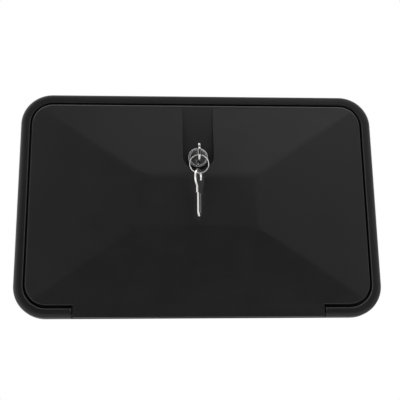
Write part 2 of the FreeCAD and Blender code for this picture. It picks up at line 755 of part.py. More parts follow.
def make_tap(name, across):
    """One side of the mixer: bonnet, fluted knob, coloured index and the inlet behind the tub."""
    bonnet = hex_bar(name + "_bonnet", "bonnet_flats", "bonnet_length", "Y",
                     x=across, y="bonnet_front", z="tap_level")
    knob = new_body(name + "_knob")
    bind(knob, Placement__Base__x=across, Placement__Base__z="tap_level")
    turned(knob, [
        ("bonnet_front", "0"),
        ("bonnet_front", "knob_radius"),
        ("knob_front", "knob_radius"),
        ("knob_front", "0"),
    ])
    scallop = circle(new_sketch(knob, "XZ_Plane", "-bonnet_front"), "scallop_reach", "0", "scallop_radius")
    grip = feature(knob, "Pocket", scallop, Reversed=True, Length="2 * knob_length")
    grips = knob.newObject("PartDesign::PolarPattern", name + "_grips")
    grips.Originals = [grip]
    grips.Axis = (scallop, ["N_Axis"])
    grips.Angle = 360.0
    grips.Occurrences = GRIPS
    knob.Tip = grips
    index = cylinder(name + "_index", "index_radius", "index_thick", "Y",
                     x=across, y="knob_front - index_thick", z="tap_level")
    inlet = cut(
        name + "_inlet",
        fuse(name + "_inlet_solid", [
            hex_bar(name + "_inlet_hexagon", "hexagon_flats", "hexagon_length", "Y",
                    x=across, y="tub_depth", z="tap_level"),
            cylinder(name + "_inlet_tail", "inlet_radius", "inlet_length", "Y",
                     x=across, y="tub_depth + hexagon_length", z="tap_level"),
        ]),
        cylinder(name + "_inlet_bore", "inlet_bore", "inlet_length", "Y",
                 x=across, y="tub_depth + hexagon_length", z="tap_level"))
    return [bonnet, knob, index, inlet]


def write_step(pieces):
    """Check every object, then write one file for each piece."""
    doc.recompute()
    for item in doc.Objects:
        if "Invalid" in item.State or "Error" in item.State:
            raise RuntimeError("not built: " + item.Label)
        shape = getattr(item, "Shape", None)
        if item in pieces and (shape is None or shape.isNull() or not shape.isValid()):
            raise RuntimeError("no valid shape: " + item.Label)
    os.makedirs("parts", exist_ok=True)
    for item in pieces:
        if len(item.Shape.Solids) != 1:
            raise RuntimeError(f"{item.Label} has {len(item.Shape.Solids)} solids")
        item.Shape.exportStep(f"parts/{item.Label}.step")
        print(item.Label, round(item.Shape.Volume / 1000.0, 2), "cm3")


all_pieces = [make_front_frame(), make_tub(), make_keeper(), make_seal(), make_door()]
all_pieces += make_hinge_pins()
all_pieces += make_lock()
all_pieces += make_keys()
all_pieces += make_mixer()
write_step(all_pieces)
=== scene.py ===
"""Looks of an exterior shower box: black moulded housing and door, cam lock, keys and mixer."""
import json
import logging
import math
from dataclasses import dataclass
from enum import Enum
from typing import Callable, Sequence

import bmesh
import bpy
from mathutils import Matrix, Vector


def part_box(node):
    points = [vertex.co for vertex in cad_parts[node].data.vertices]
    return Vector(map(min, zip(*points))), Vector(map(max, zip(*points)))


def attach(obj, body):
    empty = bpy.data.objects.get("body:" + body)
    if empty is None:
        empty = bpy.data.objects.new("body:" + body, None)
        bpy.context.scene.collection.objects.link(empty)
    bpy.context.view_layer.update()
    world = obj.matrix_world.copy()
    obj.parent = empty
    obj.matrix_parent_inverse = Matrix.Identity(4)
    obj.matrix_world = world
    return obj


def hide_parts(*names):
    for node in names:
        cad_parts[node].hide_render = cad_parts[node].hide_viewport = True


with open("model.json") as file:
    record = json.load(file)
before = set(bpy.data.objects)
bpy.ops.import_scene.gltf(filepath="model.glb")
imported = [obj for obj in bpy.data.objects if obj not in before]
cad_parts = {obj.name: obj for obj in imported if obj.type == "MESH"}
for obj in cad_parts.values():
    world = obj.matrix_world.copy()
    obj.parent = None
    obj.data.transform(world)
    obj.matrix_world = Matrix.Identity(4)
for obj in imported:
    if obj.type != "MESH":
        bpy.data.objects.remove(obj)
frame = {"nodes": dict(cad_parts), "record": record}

LOG = logging.getLogger("shower_box")
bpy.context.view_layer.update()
MM = 0.001
TOUCH = 0.05 * MM
# Face attribute: each rounding's share of edge wear and of painted highlight, which the plastic
# paints paler.
WEAR_AND_HIGHLIGHT_LAYER = "wear_and_highlight_share"
FULL_TURN = 2.0 * math.pi

Colour = tuple[float, float, float]
Point = tuple[float, float, float]
Range = tuple[float, float]
Socket = bpy.types.NodeSocket
Edge = bmesh.types.BMEdge
EdgeTest = Callable[[Edge], bool]

# Most of a noise's values lie in its bulk, and its brighter clouds rise through the peaks.
BULK: Range = (0.3, 0.7)
PEAKS: Range = (0.45, 0.75)


class Along(Enum):
    """Axis of a threaded tail, from its hexagon to its free end."""

    BACKWARD = (0.0, 1.0, 0.0)
    DOWN = (0.0, 0.0, -1.0)

    @property
    def vector(self) -> Vector:
        """Unit vector of the axis."""
        return Vector(self.value)


class Lay(Enum):
    """Direction in which the polishing lines of a metal run."""

    ACROSS = (0.15, 1.0, 1.0)
    UPRIGHT = (1.0, 1.0, 0.12)
    NONE = (1.0, 1.0, 1.0)


class Sum(Enum):
    """Ways in which two values are combined."""

    ADD = "ADD"
    SUBTRACT = "SUBTRACT"
    MULTIPLY = "MULTIPLY"
    MAXIMUM = "MAXIMUM"


@dataclass(frozen=True)
class Grain:
    """Scale of a noise in clouds per metre, its octaves and the share of the finer ones."""

    scale: float
    detail: float = 2.0
    rough: float = 0.5


class Nodes:
    """Short hand for the nodes of one material or world."""

    EDGE_SAMPLES: int = 6
    EDGE_BEND: Range = (0.03, 0.30)

    def __init__(self, tree: bpy.types.NodeTree) -> None:
        """Start from an empty tree.

        Args:
            tree: the node tree to fill.
        """
        self.tree = tree
        tree.nodes.clear()

    def add(self, kind: str, **settings: object) -> bpy.types.Node:
        """Add a node.

        Args:
            kind: the node's type without the leading ShaderNode.
            **settings: attributes of the node.

        Returns:
            The new node.
        """
        node = self.tree.nodes.new("ShaderNode" + kind)
        for name, value in settings.items():
            setattr(node, name, value)
        return node

    def feed(self, target: Socket, source: Socket | float | Sequence[float]) -> None:
        """Link a socket into another, or set a plain value on it.

        Args:
            target: the socket that is fed.
            source: another node's socket, or a plain value.
        """
        if isinstance(source, bpy.types.NodeSocket):
            self.tree.links.new(source, target)
        else:
            target.default_value = source

    def place(self, stretch: Sequence[float] = (1.0, 1.0, 1.0)) -> Socket:
        """Object coordinates.

        Args:
            stretch: factor on each axis.

        Returns:
            The coordinates.
        """
        mapping = self.add("Mapping")
        self.feed(mapping.inputs["Vector"], self.add("TexCoord").outputs["Object"])
        mapping.inputs["Scale"].default_value = stretch
        return mapping.outputs["Vector"]

    def noise(self, spot: Socket, grain: Grain) -> Socket:
        """Cloudy grey between 0 and 1.

        Args:
            spot: coordinates.
            grain: scale and character of the clouds.

        Returns:
            The noise's value.
        """
        node = self.add("TexNoise")
        self.feed(node.inputs["Vector"], spot)
        node.inputs["Scale"].default_value = grain.scale
        node.inputs["Detail"].default_value = grain.detail
        node.inputs["Roughness"].default_value = grain.rough
        return node.outputs["Fac"]

    def span(self, source: Socket, low: float, high: float, start: float = 0.0,
             end: float = 1.0, soft: bool = False) -> Socket:
        """Map a value from start..end to low..high, held at both ends.

        Args:
            source: the value.
            low: result at start.
            high: result at end.
            start: value at which the change begins.
            end: value at which it ends.
            soft: ease in and out.

        Returns:
            The mapped value.
        """
        node = self.add("MapRange", interpolation_type="SMOOTHSTEP" if soft else "LINEAR")
        self.feed(node.inputs["Value"], source)
        node.inputs["From Min"].default_value = start
        node.inputs["From Max"].default_value = end
        node.inputs["To Min"].default_value = low
        node.inputs["To Max"].default_value = high
        return node.outputs["Result"]

    def sums(self, operation: Sum, first: Socket | float, second: Socket | float) -> Socket:
        """Combine two values.

        Args:
            operation: how they are combined.
            first: the first value.
            second: the second value.

        Returns:
            The result.
        """
        node = self.add("Math", operation=operation.value)
        self.feed(node.inputs[0], first)
        self.feed(node.inputs[1], second)
        return node.outputs[0]

    def blend(self, share: Socket, first: Colour, second: Colour) -> Socket:
        """Mix two colours.

        Args:
            share: share of the second colour.
            first: the first colour.
            second: the second colour.

        Returns:
            The mixed colour.
        """
        node = self.add("Mix", data_type="RGBA")
        self.feed(node.inputs["Factor"], share)
        self.feed(node.inputs["A"], (*first, 1.0))
        self.feed(node.inputs["B"], (*second, 1.0))
        return node.outputs["Result"]

    def worn(self, reach: float) -> Socket:
        """Mask that is 1 on sharp edges and 0 on flats.

        Args:
            reach: width of the edge zone in metres.

        Returns:
            The mask.
        """
        rounded = self.add("Bevel", samples=self.EDGE_SAMPLES)
        rounded.inputs["Radius"].default_value = reach
        dot = self.add("VectorMath", operation="DOT_PRODUCT")
        self.feed(dot.inputs[0], rounded.outputs["Normal"])
        self.feed(dot.inputs[1], self.add("NewGeometry").outputs["Normal"])
        bend = self.sums(Sum.SUBTRACT, 1.0, dot.outputs["Value"])
        return self.span(bend, 0.0, 1.0, *self.EDGE_BEND)

    def bump(self, height: Socket, depth: float, strength: float) -> Socket:
        """Turn a height into a normal.

        Args:
            height: the height, between 0 and 1.
            depth: how far a height of 1 stands out, in metres.
            strength: share of the effect.

        Returns:
            The normal.
        """
        node = self.add("Bump")
        node.inputs["Strength"].default_value = strength
        node.inputs["Distance"].default_value = depth
        self.feed(node.inputs["Height"], height)
        return node.outputs["Normal"]

    def surface(self, shader: bpy.types.Node) -> None:
        """End the tree in the given shader."""
        out = self.add("OutputMaterial")
        self.feed(out.inputs["Surface"], shader.outputs[0])


@dataclass(frozen=True)
class Finish:
    """What every finish has: a name and a base colour."""

    name: str
    colour: Colour

    def make(self) -> bpy.types.Material:
        """Create the material and fill its nodes.

        Returns:
            The finished material.
        """
        material = bpy.data.materials.new(self.name)
        material.use_nodes = True
        nodes = Nodes(material.node_tree)
        shader = nodes.add("BsdfPrincipled")
        self.fill(nodes, shader)
        nodes.surface(shader)
        return material

    def fill(self, nodes: Nodes, shader: bpy.types.Node) -> None:
        """Feed the shader's sockets; each finish has its own way.

        Args:
            nodes: the material's nodes.
            shader: the shader to feed.
        """
        raise NotImplementedError

    def tinted(self, factor: float) -> Colour:
        """Base colour made darker or lighter."""
        return tuple(min(1.0, part * factor) for part in self.colour)


@dataclass(frozen=True)
class MouldedPlastic(Finish):
    """Satin moulded plastic: spark-eroded grain, faint flow clouds, worn edges and painted edge
    highlights.
    """

    roughness: float = 0.42
    shine: float = 0.4
    flow: Grain = Grain(9.0, 4.0, 0.6)
    flow_tone: float = 0.018
    texture: Grain = Grain(1500.0, 2.0, 0.55)
    texture_tone: float = 0.010
    texture_depth: float = 0.02 * MM
    texture_relief: float = 0.5
    handling: Grain = Grain(38.0, 3.0, 0.65)
    haze: float = 0.03
    edge_reach: float = 0.9 * MM
    edge_tone: Range = (0.03, 0.08)
    # Pale edges: the tint and shares for wear all round and for painted highlights that a rounding
    # asks for.
    wear_and_highlight_tint: float = 14.0
    wear_and_highlight_tone: Range = (0.75, 1.0)

    def fill(self, nodes: Nodes, shader: bpy.types.Node) -> None:
        """Grain in the normal, clouds in colour and roughness, edges worn pale and given painted
        highlights.

        Args:
            nodes: the material's nodes.
            shader: the shader to feed.
        """
        spot = nodes.place()
        clouds = nodes.noise(spot, self.flow)
        fine = nodes.noise(spot, self.texture)
        edge = nodes.worn(self.edge_reach)
        wear_and_highlight = nodes.add("Attribute", attribute_name=WEAR_AND_HIGHLIGHT_LAYER).outputs["Fac"]
        tone = nodes.sums(Sum.ADD, nodes.span(clouds, 0.0, self.flow_tone, *BULK),
                          nodes.span(fine, 0.0, self.texture_tone, *BULK))
        # Edges turn pale with wear all round; the rounding's attribute adds wear and painted
        # highlights on faces that look up or sideways.
        for mask, pale in ((edge, self.edge_tone), (wear_and_highlight, self.wear_and_highlight_tone)):
            patches = nodes.sums(Sum.MULTIPLY, mask, nodes.span(clouds, *pale, *BULK))
            tone = nodes.sums(Sum.MAXIMUM, tone, patches)
        nodes.feed(shader.inputs["Base Color"],
                   nodes.blend(tone, self.colour, self.tinted(self.wear_and_highlight_tint)))
        handled = nodes.span(nodes.noise(spot, self.handling), -self.haze, self.haze, *BULK)
        dull = nodes.span(fine, self.roughness - self.haze, self.roughness + self.haze, *BULK)
        nodes.feed(shader.inputs["Roughness"], nodes.sums(Sum.ADD, handled, dull))
        shader.inputs["Specular IOR Level"].default_value = self.shine
        nodes.feed(shader.inputs["Normal"],
                   nodes.bump(fine, self.texture_depth, self.texture_relief))


@dataclass(frozen=True)
class GlossPlastic(Finish):
    """Polished plastic with a slight ripple and fine wiping marks."""

    roughness: float = 0.16
    ripple: Grain = Grain(60.0)
    ripple_depth: float = 0.2 * MM
    ripple_relief: float = 0.25
    marks: Grain = Grain(2200.0, 3.0, 0.7)
    marks_lay: Point = (1.0, 1.0, 0.08)
    marks_haze: float = 0.14
    edge_reach: float = 0.8 * MM
    edge_tint: float = 1.8

    def fill(self, nodes: Nodes, shader: bpy.types.Node) -> None:
        """Ripple in the normal, wiping marks in the roughness.

        Args:
            nodes: the material's nodes.
            shader: the shader to feed.
        """
        ripple = nodes.noise(nodes.place(), self.ripple)
        marks = nodes.noise(nodes.place(self.marks_lay), self.marks)
        nodes.feed(shader.inputs["Base Color"],
                   nodes.blend(nodes.worn(self.edge_reach), self.colour,
                               self.tinted(self.edge_tint)))
        nodes.feed(shader.inputs["Roughness"],
                   nodes.span(marks, self.roughness, self.roughness + self.marks_haze, *PEAKS))
        nodes.feed(shader.inputs["Normal"],
                   nodes.bump(ripple, self.ripple_depth, self.ripple_relief))


@dataclass(frozen=True)
class SealRubber(Finish):
    """Soft dull rubber with a dusty bloom."""

    roughness: Range = (0.68, 0.86)
    shine: float = 0.3
    bloom: Grain = Grain(120.0, 4.0, 0.65)
    bloom_span: Range = (0.35, 0.75)
    bloom_tint: float = 2.4
    pores: Grain = Grain(2600.0)
    pore_depth: float = 0.03 * MM
    pore_relief: float = 0.6

    def fill(self, nodes: Nodes, shader: bpy.types.Node) -> None:
        """Bloom in the colour and roughness, pores in the normal.

        Args:
            nodes: the material's nodes.
            shader: the shader to feed.
        """
        spot = nodes.place()
        bloom = nodes.noise(spot, self.bloom)
        pores = nodes.noise(spot, self.pores)
        nodes.feed(shader.inputs["Base Color"],
                   nodes.blend(nodes.span(bloom, 0.0, 1.0, *self.bloom_span), self.colour,
                               self.tinted(self.bloom_tint)))
        nodes.feed(shader.inputs["Roughness"], nodes.span(bloom, *self.roughness, *BULK))
        shader.inputs["Specular IOR Level"].default_value = self.shine
        nodes.feed(shader.inputs["Normal"],
                   nodes.bump(pores, self.pore_depth, self.pore_relief))


@dataclass(frozen=True)
class PlatedMetal(Finish):
    """Plated or turned metal with polishing lines, smudges and bright edges."""

    roughness: float = 0.18
    lines: float = 0.08
    lay: Lay = Lay.NONE
    tarnish: Colour = (0.3, 0.29, 0.27)
    tarnished: float = 0.25
    relief: float = 0.35
    smudges: Grain = Grain(240.0, 4.0, 0.6)
    haze: Range = (-0.03, 0.05)
    polish: Grain = Grain(4200.0, 3.0, 0.7)
    polish_span: Range = (0.4, 0.7)
    polish_depth: float = 0.01 * MM
    edge_reach: float = 0.4 * MM

    def fill(self, nodes: Nodes, shader: bpy.types.Node) -> None:
        """Tarnish in the colour, lines and smudges in the roughness and normal.

        Args:
            nodes: the material's nodes.
            shader: the shader to feed.
        """
        smudge = nodes.noise(nodes.place(), self.smudges)
        fine = nodes.noise(nodes.place(self.lay.value), self.polish)
        flat = nodes.sums(Sum.SUBTRACT, 1.0, nodes.worn(self.edge_reach))
        dull = nodes.sums(Sum.MULTIPLY, nodes.span(smudge, 0.0, self.tarnished, *PEAKS), flat)
        nodes.feed(shader.inputs["Base Color"], nodes.blend(dull, self.colour, self.tarnish))
        shader.inputs["Metallic"].default_value = 1.0
        low, high = (self.roughness + part for part in self.haze)
        lines = nodes.span(fine, 0.0, self.lines, *self.polish_span)
        nodes.feed(shader.inputs["Roughness"],
                   nodes.sums(Sum.ADD, nodes.span(smudge, low, high, *BULK), lines))
        nodes.feed(shader.inputs["Normal"], nodes.bump(fine, self.polish_depth, self.relief))


@dataclass(frozen=True)
class PaleFloor(Finish):
    """Pale studio floor with a faint mottle, painted lighter towards its edge so that it fades
    into the white backdrop.
    """

    edge: Colour = (0.86, 0.86, 0.86)
    fade: Range = (0.1, 1.35)
    mottle: Grain = Grain(6.0, 3.0)
    mottle_tone: float = 0.15
    roughness: Range = (0.6, 0.75)

    def fill(self, nodes: Nodes, shader: bpy.types.Node) -> None:
        """Mottle in colour and roughness, and painted light that grows with the distance from the
        middle.

        Args:
            nodes: the material's nodes.
            shader: the shader to feed.
        """
        clouds = nodes.noise(nodes.place(), self.mottle)
        length = nodes.add("VectorMath", operation="LENGTH")
        nodes.feed(length.inputs[0], nodes.place((1.0, 1.0, 0.0)))
        # Painted light: paler towards the edge, where the floor fades into the white backdrop.
        tone = nodes.span(length.outputs["Value"], 0.0, 1.0, *self.fade, True)
        tone = nodes.sums(Sum.MAXIMUM, tone, nodes.span(clouds, 0.0, self.mottle_tone, *BULK))
        nodes.feed(shader.inputs["Base Color"], nodes.blend(tone, self.colour, self.edge))
        nodes.feed(shader.inputs["Roughness"], nodes.span(clouds, *self.roughness))


class Palette:
    """All finishes of the box, made once and handed out by name."""

    FINISHES: tuple[tuple[str, Finish], ...] = (
        ("black_plastic", MouldedPlastic("moulded_black", (0.0112, 0.0111, 0.0116))),
        ("frame_plastic", MouldedPlastic("frame_black", (0.0084, 0.0083, 0.0087),
                                         roughness=0.45, shine=0.35)),
        ("seal_rubber", SealRubber("seal_black", (0.008, 0.008, 0.008))),
        ("pin_steel", PlatedMetal("black_oxide", (0.05, 0.05, 0.052), roughness=0.38,
                                  lay=Lay.ACROSS, tarnish=(0.08, 0.07, 0.06))),
        ("lock_chrome", PlatedMetal("bright_chrome", (0.80, 0.80, 0.81), roughness=0.05,
                                    lines=0.02, tarnished=0.12, relief=0.08)),
        ("zinc_steel", PlatedMetal("zinc_plate", (0.58, 0.58, 0.55), roughness=0.30, lines=0.12,
                                   lay=Lay.UPRIGHT, tarnish=(0.36, 0.34, 0.26), tarnished=0.5)),
        ("key_nickel", PlatedMetal("nickel_key", (0.78, 0.77, 0.75), roughness=0.11, lines=0.06,
                                   lay=Lay.UPRIGHT)),
        ("ring_steel", PlatedMetal("nickel_wire", (0.88, 0.88, 0.87), roughness=0.10, lines=0.04,
                                   relief=0.15)),
        ("mixer_plastic", GlossPlastic("gloss_black", (0.016, 0.016, 0.017))),
        ("tap_brass", PlatedMetal("turned_brass", (0.74, 0.55, 0.26), roughness=0.22, lines=0.10,
                                  tarnish=(0.33, 0.22, 0.10), tarnished=0.45)),
        ("index_red", GlossPlastic("index_red", (0.50, 0.02, 0.02), roughness=0.2)),
        ("index_blue", GlossPlastic("index_blue", (0.02, 0.08, 0.45), roughness=0.2)),
    )

    def __init__(self) -> None:
        """Make every material."""
        self.materials = {name: finish.make() for name, finish in self.FINISHES}

    def coat(self, obj: bpy.types.Object, name: str) -> None:
        """Give an object one finish on all its faces.

        Args:
            obj: the object.
            name: the finish.
        """
        obj.data.materials.clear()
        obj.data.materials.append(self.materials[name])
        for face in obj.data.polygons:
            face.material_index = 0


@dataclass(frozen=True)
class WearAndHighlight:
    """How much an edge is worn, and how much painted highlight it gets by the way it faces."""

    # Even is wear all round; the other two paint highlights on edges that face sideways or look
    # up.
    even: float
    sideways_highlight: float
    upward_highlight: float

    def on(self, normal: Vector) -> float:
        """Share of full wear and painted highlight, never below nothing."""
        return max(0.0, self.even + self.sideways_highlight * abs(normal.x) + self.upward_highlight * normal.z)


@dataclass(frozen=True)
class Rounding:
    """How outward edges are rounded.

    The width is in metres, and segments is the number of faces across. Edges are taken whose
    faces meet at an angle between bend and most, in degrees. A clamped rounding is held back
    where two would meet. The new faces are made paler by wear and by painted highlight.
    """

    width: float
    segments: int = 3
    bend: float = 25.0
    most: float = 180.0
    clamped: bool = True
    wear_and_highlight: WearAndHighlight | None = None

    def takes(self, edge: Edge) -> bool:
        """Say whether an edge is as sharp as this rounding wants.

        Args:
            edge: an edge of a mesh.

        Returns:
            True for an outward edge between two faces that meet at such an angle.
        """
        if len(edge.link_faces) != 2:
            return False
        return math.radians(self.bend) < edge.calc_face_angle_signed(0.0) < math.radians(self.most)


def lies_before(edge: Edge, plane: float) -> bool:
    """Say whether an edge lies wholly in front of an upright plane."""
    return all(vert.co.y < plane for vert in edge.verts)


class Workshop:
    """Turns bmeshes and copies of solids into finished pieces."""

    MERGE: float = 0.002 * MM
    FLAT: float = math.radians(0.2)
    VALLEY_BEND: float = math.radians(1.0)
    VALLEY_LENGTH: float = 60.0 * MM
    FLAT_WEIGHT: int = 50

    def __init__(self, palette: Palette) -> None:
        """Keep the palette and the record's slots and bodies.

        Args:
            palette: the finishes.
        """
        self.palette = palette
        record = frame["record"]
        self.slots = {part["node"]: part["material_slot"] for part in record["subparts"]}
        self.bodies = {node: body for body, nodes in record["behaviour"]["bodies"].items()
                       for node in nodes}

    def dress(self, *nodes: str) -> None:
        """Give solids that stay as they are the finish of their slot.

        Args:
            *nodes: the solids' names.
        """
        for node in nodes:
            self.palette.coat(frame["nodes"][node], self.slots[node])
            LOG.info("dressed %s", node)

    def copy_of(self, node: str) -> bmesh.types.BMesh:
        """Merged copy of a solid's mesh, flat regions joined.

        Args:
            node: the solid's name.

        Returns:
            A bmesh in the shared frame.
        """
        bm = bmesh.new()
        bm.from_mesh(frame["nodes"][node].data)
        # Layer for each face's share of wear and painted highlight.
        bm.faces.layers.float.new(WEAR_AND_HIGHLIGHT_LAYER)
        bmesh.ops.remove_doubles(bm, verts=bm.verts, dist=self.MERGE)
        bmesh.ops.dissolve_limit(bm, angle_limit=self.FLAT, verts=bm.verts, edges=bm.edges,
                                 use_dissolve_boundaries=False, delimit=set())
        return bm

    def ease(self, bm: bmesh.types.BMesh, rounding: Rounding, wanted: EdgeTest) -> None:
        """Round the sharp outward edges that a test picks out, and mark the new faces' wear and
        painted highlight.

        Args:
            bm: the mesh.
            rounding: size and kind of the rounding.
            wanted: test on an edge.
        """
        edges = [edge for edge in bm.edges if rounding.takes(edge) and wanted(edge)]
        made = bmesh.ops.bevel(bm, geom=edges, offset=rounding.width, offset_type="OFFSET",
                               affect="EDGES", segments=rounding.segments, profile=0.5,
                               material=-1, clamp_overlap=rounding.clamped, loop_slide=True)
        # The new faces keep their share of wear and painted highlight for the plastic's colour.
        if rounding.wear_and_highlight is not None:
            layer = bm.faces.layers.float[WEAR_AND_HIGHLIGHT_LAYER]
            for face in made["faces"]:
                face.normal_update()
                face[layer] = rounding.wear_and_highlight.on(face.normal)

    def mark_creases(self, bm: bmesh.types.BMesh, limit: float) -> None:
        """Shade all faces smooth except across bends over a limit and along long valleys.

        Args:
            bm: the mesh.
            limit: largest bend that is still smooth, in radians.
        """
        for face in bm.faces:
            face.smooth = True
        for edge in bm.edges:
            if len(edge.link_faces) != 2:
                edge.smooth = False
                continue
            bend = edge.calc_face_angle_signed(0.0)
            valley = bend < -self.VALLEY_BEND and edge.calc_length() > self.VALLEY_LENGTH
            edge.smooth = abs(bend) <= limit and not valley

    def finish(self, bm: bmesh.types.BMesh, name: str, body: str, slot: str, smooth: float = 30.0,
               stands_for: Sequence[str] = (), coat: str | None = None) -> bpy.types.Object:
        """Make an object of a bmesh, coat it and let it ride on its body.

        Args:
            bm: the mesh, which is freed.
            name: the piece's name.
            body: the body that carries it.
            slot: the record's material slot.
            smooth: angle in degrees up to which edges are shaded smooth.
            stands_for: solids that the piece replaces.
            coat: the finish, where it isn't the slot's own.

        Returns:
            The new object.
        """
        self.mark_creases(bm, math.radians(smooth))
        mesh = bpy.data.meshes.new(name)
        bm.to_mesh(mesh)
        bm.free()
        obj = bpy.data.objects.new(name, mesh)
        bpy.context.scene.collection.objects.link(obj)
        flats = obj.modifiers.new("flat_faces", "WEIGHTED_NORMAL")
        flats.mode = "FACE_AREA"
        flats.weight = self.FLAT_WEIGHT
        flats.keep_sharp = True
        self.palette.coat(obj, coat or slot)
        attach(obj, body)
        if stands_for:
            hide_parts(*stands_for)
        LOG.info("built %s with %d faces", name, len(mesh.polygons))
        return obj

    def eased_copy(self, node: str, rounding: Rounding,
                   wanted: EdgeTest = lambda edge: True) -> bpy.types.Object:
        """Replace a solid by a copy with rounded edges.

        Args:
            node: the solid's name.
            rounding: size and kind of the rounding.
            wanted: test on an edge.

        Returns:
            The new object.
        """
        bm = self.copy_of(node)
        self.ease(bm, rounding, wanted)
        return self.finish(bm, node + "_eased", self.bodies[node], self.slots[node],
                           stands_for=(node,))


@dataclass
class ScrewThread:
    """A helical ridge on a round tail."""

    name: str
    foot: Vector
    along: Along
    radius: float
    length: float
    pitch: float = 1.8 * MM
    height: float = 0.45 * MM
    root: float = 0.15 * MM
    flank: float = 0.42
    steps: int = 40
    smooth: float = 35.0

    def build(self, shop: Workshop, body: str, slot: str) -> bpy.types.Object:
        """Spin a three-sided profile up the tail.

        Args:
            shop: where pieces are finished.
            body: the body that carries the tail.
            slot: the record's material slot.

        Returns:
            The thread.
        """
        axis = self.along.vector
        side = axis.orthogonal().normalized()
        turns = (self.length - 2.0 * self.pitch) / self.pitch
        start = self.foot + axis * self.pitch
        low = self.radius - self.root
        corners = [(low, -self.flank), (self.radius + self.height, 0.0), (low, self.flank)]
        bm = bmesh.new()
        ring = [bm.verts.new(start + side * out + axis * (up * self.pitch)) for out, up in corners]
        edges = [bm.edges.new((ring[i], ring[(i + 1) % len(ring)])) for i in range(len(ring))]
        count = round(turns * self.steps)
        bmesh.ops.spin(bm, geom=ring + edges, cent=start, axis=axis,
                       dvec=axis * (self.pitch / self.steps), angle=FULL_TURN * count / self.steps,
                       steps=count, use_merge=False, use_duplicate=False)
        ends = [edge for edge in bm.edges if edge.is_boundary]
        bmesh.ops.holes_fill(bm, edges=ends, sides=len(corners))
        bmesh.ops.recalc_face_normals(bm, faces=bm.faces)
        return shop.finish(bm, self.name, body, slot, smooth=self.smooth)


@dataclass
class Housing:
    """Front frame, tub, keeper, seal and hinge pins."""

    crown_foot: float = 1.6 * MM
    crown_lift: float = 0.7 * MM
    slope: Rounding = Rounding(1.6 * MM, bend=6.0, most=60.0)
    slope_reach: float = 4.0 * MM
    # The inner rounding is painted paler: a little wear all round, and painted highlights on the
    # sides and on faces that look up, such as the ears' tops.
    inner: Rounding = Rounding(1.0 * MM, segments=4, bend=60.0, clamped=False,
                               wear_and_highlight=WearAndHighlight(even=0.08, sideways_highlight=0.55, upward_highlight=1.10))
    tub: Rounding = Rounding(0.8 * MM)
    tub_reach: float = 9.0 * MM

    def build(self, shop: Workshop) -> None:
        """Ease the frame's rim and the tub's edges, and dress what stays.

        Args:
            shop: where pieces are finished.
        """
        self.rim(shop)
        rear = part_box("tub")[1].y - self.tub_reach
        shop.eased_copy("tub", self.tub, lambda edge: all(v.co.y > rear for v in edge.verts))
        shop.dress("cam_keeper", "door_seal", "hinge_pin_left", "hinge_pin_right")

    def rim(self, shop: Workshop) -> None:
        """Crown the rim: soft slopes outside, a round edge towards the door.

        Args:
            shop: where pieces are finished.
        """
        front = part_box("front_frame")[0].y
        bm = shop.copy_of("front_frame")
        foot = [v for v in bm.verts if abs(v.co.y - front - self.crown_foot) < TOUCH]
        bmesh.ops.translate(bm, verts=foot, vec=(0.0, -self.crown_lift, 0.0))
        LOG.info("crowned the rim at %d points", len(foot))
        shop.ease(bm, self.slope, lambda edge: lies_before(edge, front + self.slope_reach))
        shop.ease(bm, self.inner, lambda edge: lies_before(edge, front + TOUCH))
        shop.finish(bm, "front_frame_eased", shop.bodies["front_frame"],
                    shop.slots["front_frame"], stands_for=("front_frame",), coat="frame_plastic")


@dataclass(frozen=True)
class Strip:
    """Upright strip in the middle of the door, as seen from the front."""

    half: float
    low: float
    high: float

    def holds(self, edge: Edge) -> bool:
        """Say whether the middle of an edge lies in the strip."""
        middle = (edge.verts[0].co + edge.verts[1].co) / 2.0
        return abs(middle.x) < self.half and self.low < middle.z < self.high


